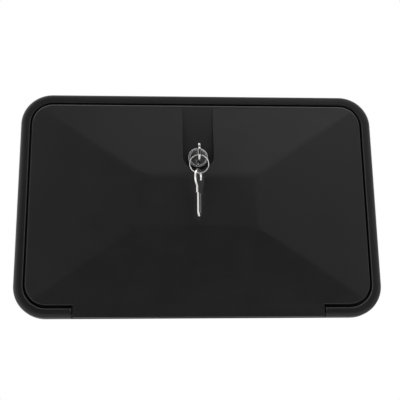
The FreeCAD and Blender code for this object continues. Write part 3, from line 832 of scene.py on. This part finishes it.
@dataclass
class Door:
    """The faceted door moulding."""

    # The outline's rounding is painted paler: a little wear all round and a painted highlight
    # along the top edge.
    outline: Rounding = Rounding(1.35 * MM, segments=4, bend=20.0, clamped=False,
                                 wear_and_highlight=WearAndHighlight(even=0.04, sideways_highlight=0.0, upward_highlight=1.9))
    foot: Rounding = Rounding(0.3 * MM, segments=2, bend=20.0)
    foot_reach: float = 6.0 * MM
    recess: Rounding = Rounding(0.7 * MM, bend=20.0)
    recess_half: float = 16.4 * MM
    recess_cuts: int = 3
    ridge: Rounding = Rounding(4.2 * MM, bend=2.0, most=20.0)
    same_way: float = 0.99999
    cut_merge: float = 0.001 * MM

    def build(self, shop: Workshop) -> None:
        """Round the outline and the recess's rim, then soften the ridges between the facets.

        Args:
            shop: where pieces are finished.
        """
        bm = shop.copy_of("door")
        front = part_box("front_frame")[0].y
        plane = front + TOUCH
        strip = Strip(self.recess_half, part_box("lock_barrel")[0].z - self.recess_half,
                      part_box("door")[1].z - self.outline.width)
        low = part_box("door")[0].z + self.foot_reach

        def is_foot(edge: Edge) -> bool:
            """Say whether an edge reaches down to the hinge tongue's foot."""
            return any(vert.co.z < low for vert in edge.verts)

        def is_outline(edge: Edge) -> bool:
            """Say whether an edge has all its points off the foot and lies outside the recess."""
            return all(vert.co.z > low for vert in edge.verts) and not strip.holds(edge)

        shop.ease(bm, self.outline, lambda edge: lies_before(edge, plane) and is_outline(edge))
        shop.ease(bm, self.foot, lambda edge: lies_before(edge, plane) and is_foot(edge))
        self.round_recess(shop, bm, strip, front - self.recess.width)
        self.soften(bm, plane)
        shop.finish(bm, "door_eased", shop.bodies["door"], shop.slots["door"],
                    stands_for=("door",))

    def is_long(self, edge: Edge) -> bool:
        """Say whether an edge is longer than the recess is wide."""
        return edge.calc_length() > 2.0 * self.recess_half

    def round_recess(self, shop: Workshop, bm: bmesh.types.BMesh, strip: Strip,
                     plane: float) -> None:
        """Round the recess's rim as far up as its wall is high enough.

        Args:
            shop: where pieces are finished.
            bm: the door's mesh.
            strip: the strip that holds the lock's recess.
            plane: plane in front of which the rim's rounding may lie.
        """
        uprights = [edge for edge in bm.edges
                    if strip.holds(edge) and self.is_long(edge) and self.recess.takes(edge)]
        bmesh.ops.bisect_edges(bm, edges=uprights, cuts=self.recess_cuts)
        shop.ease(bm, self.recess, lambda edge: lies_before(edge, plane) and strip.holds(edge))

    def soften(self, bm: bmesh.types.BMesh, plane: float) -> None:
        """Cut each facet beside its ridges, so that the shading turns over a strip there.

        Args:
            bm: the door's mesh.
            plane: plane in front of which the facets lie.
        """
        ridges = [(edge.verts[0].co.copy(), (edge.verts[1].co - edge.verts[0].co).normalized(),
                   [(face.normal.copy(), face.calc_center_median()) for face in edge.link_faces])
                  for edge in bm.edges
                  if self.ridge.takes(edge) and lies_before(edge, plane) and self.is_long(edge)]
        for start, along, facets in ridges:
            for normal, centre in facets:
                inward = along.cross(normal).normalized()
                if inward.dot(centre - start) < 0.0:
                    inward.negate()
                faces = [face for face in bm.faces if face.normal.dot(normal) > self.same_way
                         and abs((face.verts[0].co - start).dot(normal)) < TOUCH]
                edges = {edge for face in faces for edge in face.edges}
                verts = {vert for face in faces for vert in face.verts}
                bmesh.ops.bisect_plane(bm, geom=faces + list(edges) + list(verts),
                                       dist=self.cut_merge,
                                       plane_co=start + inward * self.ridge.width,
                                       plane_no=inward)
        LOG.info("softened %d ridges", len(ridges))


@dataclass
class CamLock:
    """Bezel, barrel, plug, cam, nut and screw."""

    bezel: Rounding = Rounding(0.35 * MM)
    plug: Rounding = Rounding(0.25 * MM)
    stamped: Rounding = Rounding(0.3 * MM)

    def build(self, shop: Workshop) -> None:
        """Ease the turned and stamped pieces.

        Args:
            shop: where pieces are finished.
        """
        shop.eased_copy("lock_barrel", self.bezel)
        shop.eased_copy("lock_plug", self.plug)
        shop.eased_copy("lock_cam", self.stamped)
        shop.eased_copy("lock_nut", self.stamped)
        shop.eased_copy("cam_screw", self.stamped)


@dataclass
class SplitRing:
    """Two flat turns of wire joined by a short crossing."""

    crossing: float = math.radians(26.0)
    crossing_steps: int = 10
    wire: float = 0.45 * MM
    steps: int = 72
    sides: int = 12
    smooth: float = 50.0

    def build(self, shop: Workshop) -> None:
        """Sweep the wire's section round both turns.

        Args:
            shop: where pieces are finished.
        """
        low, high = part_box("key_ring")
        middle = (low + high) / 2.0
        half = (high.y - low.y) / 4.0
        radius = (high.z - low.z) / 2.0 - self.wire
        axis = Vector((0.0, 1.0, 0.0))
        bm = bmesh.new()
        bmesh.ops.create_circle(bm, cap_ends=False, segments=self.sides, radius=self.wire)
        seat = (Matrix.Translation(middle - axis * half)
                @ Matrix.Rotation(-self.crossing / 2.0, 4, axis)
                @ Matrix.Translation((radius, 0.0, 0.0)))
        squeeze = Matrix.Diagonal((1.0, half / self.wire, 1.0, 1.0))
        bmesh.ops.transform(bm, matrix=seat @ squeeze, verts=bm.verts)
        section = list(bm.verts) + list(bm.edges)
        turn = (FULL_TURN - self.crossing, 0.0, self.steps)
        cross = (self.crossing, 2.0 * half, self.crossing_steps)
        for angle, shift, steps in (turn, cross, turn):
            made = bmesh.ops.spin(bm, geom=section, cent=middle, axis=-axis,
                                  dvec=axis * (shift / steps), angle=angle, steps=steps,
                                  use_merge=False, use_duplicate=False)
            section = made["geom_last"]
        ends = [edge for edge in bm.edges if edge.is_boundary]
        bmesh.ops.holes_fill(bm, edges=ends, sides=self.sides)
        bmesh.ops.recalc_face_normals(bm, faces=bm.faces)
        shop.finish(bm, "split_ring", "key_ring", "ring_steel", smooth=self.smooth,
                    stands_for=("key_ring",))


@dataclass
class Keys:
    """The key in the lock, the split ring and the spare key."""

    bow: Rounding = Rounding(0.55 * MM)
    spare: Rounding = Rounding(0.22 * MM, segments=2)

    def build(self, shop: Workshop) -> None:
        """Ease the stamped keys and wind the ring.

        Args:
            shop: where pieces are finished.
        """
        shop.eased_copy("key_in_lock", self.bow)
        shop.eased_copy("spare_key", self.spare)
        SplitRing().build(shop)


@dataclass
class Mixer:
    """Mixer body, knobs, indexes, hose outlet and inlets."""

    casting: Rounding = Rounding(0.8 * MM)
    knob: Rounding = Rounding(1.2 * MM)
    index: Rounding = Rounding(0.4 * MM)

    def build(self, shop: Workshop) -> None:
        """Ease the castings and cut the threads.

        Args:
            shop: where pieces are finished.
        """
        shop.eased_copy("mixer_body", self.casting)
        for side in ("hot", "cold"):
            shop.eased_copy(side + "_knob", self.knob)
            shop.eased_copy(side + "_index", self.index)
            shop.dress(side + "_bonnet", side + "_inlet")
            self.thread(shop, side + "_inlet", Along.BACKWARD)
        shop.dress("hose_outlet")
        self.thread(shop, "hose_outlet", Along.DOWN)

    def thread(self, shop: Workshop, node: str, along: Along) -> None:
        """Wind a thread on the round tail of an inlet or outlet.

        Args:
            shop: where pieces are finished.
            node: the solid whose mount gives the tail's place and size.
            along: direction from the hexagon to the free end.
        """
        mount = next(m for m in frame["record"]["mounts"] if m["name"] == node)
        length = mount["dims"]["length_mm"] * MM
        foot = Vector(mount["pos_m"]) - along.vector * (length / 2.0)
        tail = ScrewThread(node + "_thread", foot, along, mount["dims"]["r_mm"] * MM, length)
        tail.build(shop, shop.bodies[node], shop.slots[node])


@dataclass(frozen=True)
class SoftLamp:
    """A soft rectangular lamp: where it hangs, the point it faces, its size and its watts."""

    name: str
    spot: Point
    aim: Point
    size: Range
    power: float

    def build(self) -> None:
        """Hang the lamp and turn it to its aim."""
        data = bpy.data.lights.new(self.name, "AREA")
        data.shape = "RECTANGLE"
        data.size, data.size_y = self.size
        data.energy = self.power
        lamp = bpy.data.objects.new(self.name, data)
        bpy.context.scene.collection.objects.link(lamp)
        lamp.location = self.spot
        gaze = Vector(self.aim) - Vector(self.spot)
        lamp.rotation_euler = gaze.to_track_quat("-Z", "Y").to_euler()


@dataclass(frozen=True)
class Room:
    """Soft light from the walls and the rear of a room, with a tall dark space in front.

    Strengths are those of the world's background. A wall's pair is its strength and the part
    of the way looked, along X, at which it is full.
    """

    colour: Colour = (0.998, 0.992, 1.0)
    backdrop: Colour = (1.0, 1.0, 1.0)
    ambient: float = 0.01
    dark_way: Point = (0.0, -1.0, -0.01)
    dark_cone: Range = (50.0, 16.0)
    dark_tall: float = 0.65
    left: Range = (0.85, 0.36)
    right: Range = (0.54, 0.60)
    wall_gain: Range = (1.62, 1.05)
    wall_rise: Range = (0.08, 0.28)
    rear: float = 1.1
    rear_turn: Range = (-0.45, 0.1)
    rear_foot: float = 0.03
    rear_rise: Range = (-0.15, 0.45)
    spot: float = 0.6
    spot_way: Point = (0.40, -0.72, 0.56)
    spot_cone: float = 30.0

    def build(self) -> None:
        """Make the world: a white backdrop for the camera, the room for the light."""
        world = bpy.data.worlds.new("studio")
        bpy.context.scene.world = world
        world.use_nodes = True
        nodes = Nodes(world.node_tree)
        way = nodes.add("TexCoord").outputs["Generated"]
        walls = nodes.sums(Sum.MULTIPLY, self.dark_space(nodes, way), self.walls(nodes, way))
        spot = nodes.span(self.towards(nodes, way, self.spot_way), self.ambient,
                          self.ambient + self.spot, math.cos(math.radians(self.spot_cone)), 1.0,
                          True)
        room = nodes.add("Background")
        room.inputs["Color"].default_value = (*self.colour, 1.0)
        nodes.feed(room.inputs["Strength"], nodes.sums(Sum.ADD, spot, walls))
        backdrop = nodes.add("Background")
        backdrop.inputs["Color"].default_value = (*self.backdrop, 1.0)
        choice = nodes.add("MixShader")
        nodes.feed(choice.inputs[0], nodes.add("LightPath").outputs["Is Camera Ray"])
        nodes.feed(choice.inputs[1], room.outputs[0])
        nodes.feed(choice.inputs[2], backdrop.outputs[0])
        out = nodes.add("OutputWorld")
        nodes.feed(out.inputs["Surface"], choice.outputs[0])

    def towards(self, nodes: Nodes, way: Socket, aim: Point) -> Socket:
        """Cosine between the way looked and an aim.

        Args:
            nodes: the world's nodes.
            way: the way looked.
            aim: the aim, of any length.

        Returns:
            The cosine.
        """
        dot = nodes.add("VectorMath", operation="DOT_PRODUCT")
        nodes.feed(dot.inputs[0], way)
        dot.inputs[1].default_value = Vector(aim).normalized()
        return dot.outputs["Value"]

    def dark_space(self, nodes: Nodes, way: Socket) -> Socket:
        """Factor that is 0 in the tall dark space in front and 1 outside it.

        Args:
            nodes: the world's nodes.
            way: the way looked.

        Returns:
            The factor.
        """
        squat = nodes.add("VectorMath", operation="MULTIPLY")
        nodes.feed(squat.inputs[0], way)
        squat.inputs[1].default_value = (1.0, 1.0, self.dark_tall)
        even = nodes.add("VectorMath", operation="NORMALIZE")
        nodes.feed(even.inputs[0], squat.outputs["Vector"])
        wide, narrow = (math.cos(math.radians(angle)) for angle in self.dark_cone)
        ahead = self.towards(nodes, even.outputs["Vector"], self.dark_way)
        return nodes.span(ahead, 1.0, 0.0, wide, narrow, True)

    def walls(self, nodes: Nodes, way: Socket) -> Socket:
        """Strength of the side walls, brighter low down, and of the rear.

        Args:
            nodes: the world's nodes.
            way: the way looked.

        Returns:
            The strength.
        """
        parts = nodes.add("SeparateXYZ")
        nodes.feed(parts.inputs[0], way)
        across, ahead, height = (parts.outputs[axis] for axis in "XYZ")
        sides = nodes.sums(Sum.ADD, nodes.span(across, self.left[0], 0.0, -self.left[1], 0.0),
                           nodes.span(across, 0.0, self.right[0], 0.0, self.right[1]))
        sides = nodes.sums(Sum.MULTIPLY, sides,
                           nodes.span(height, *self.wall_gain, *self.wall_rise))
        rear = nodes.sums(Sum.MULTIPLY, nodes.span(ahead, 0.0, self.rear, *self.rear_turn, True),
                          nodes.span(height, self.rear_foot, 1.0, *self.rear_rise, True))
        return nodes.sums(Sum.ADD, sides, rear)


@dataclass
class Studio:
    """Camera at the photograph's viewpoint, soft room, one lamp in front, pale floor."""

    eye: Point = (-0.0417, -0.7878, -0.1091)
    forward: Point = (0.0537, 0.9631, 0.2634)
    upward: Point = (-0.0028, -0.2636, 0.9646)
    lens: float = 71.05
    sensor: float = 36.0
    nearest: float = 0.01
    floor_level: float = -0.95
    floor_size: float = 3.0
    floor_finish: PaleFloor = PaleFloor("pale_floor", (0.62, 0.62, 0.62))
    room: Room = Room()
    bank: SoftLamp = SoftLamp("bank_in_front", spot=(0.35, -1.25, 1.20), aim=(0.0, 0.0, 0.1),
                              size=(1.2, 0.4), power=1.7)

    def camera(self) -> None:
        """Set up the camera."""
        data = bpy.data.cameras.new("viewpoint")
        data.lens = self.lens
        data.sensor_width = self.sensor
        data.clip_start = self.nearest
        camera = bpy.data.objects.new("viewpoint", data)
        bpy.context.scene.collection.objects.link(camera)
        ahead = Vector(self.forward).normalized()
        right = ahead.cross(Vector(self.upward)).normalized()
        turn = Matrix((right, right.cross(ahead), -ahead)).transposed().to_4x4()
        camera.matrix_world = Matrix.Translation(self.eye) @ turn
        bpy.context.scene.camera = camera

    def floor(self) -> None:
        """Lay the pale floor well below the box."""
        bm = bmesh.new()
        bmesh.ops.create_grid(bm, x_segments=1, y_segments=1, size=self.floor_size / 2.0)
        bmesh.ops.translate(bm, verts=bm.verts, vec=(0.0, 0.0, self.floor_level))
        mesh = bpy.data.meshes.new("floor")
        bm.to_mesh(mesh)
        bm.free()
        floor = bpy.data.objects.new("floor", mesh)
        bpy.context.scene.collection.objects.link(floor)
        mesh.materials.append(self.floor_finish.make())

    def build(self) -> None:
        """Set up the whole studio."""
        view = bpy.context.scene.view_settings
        view.view_transform = "Standard"
        view.look = "None"
        self.camera()
        self.room.build()
        self.floor()
        self.bank.build()
        LOG.info("studio ready")


def main() -> None:
    """Build every sub-assembly, then the studio."""
    logging.basicConfig(level=logging.INFO, format="%(name)s: %(message)s")
    shop = Workshop(Palette())
    for assembly in (Housing(), Door(), CamLock(), Keys(), Mixer()):
        assembly.build(shop)
        LOG.info("%s done", type(assembly).__name__)
    Studio().build()


if __name__ == "__main__":
    main()
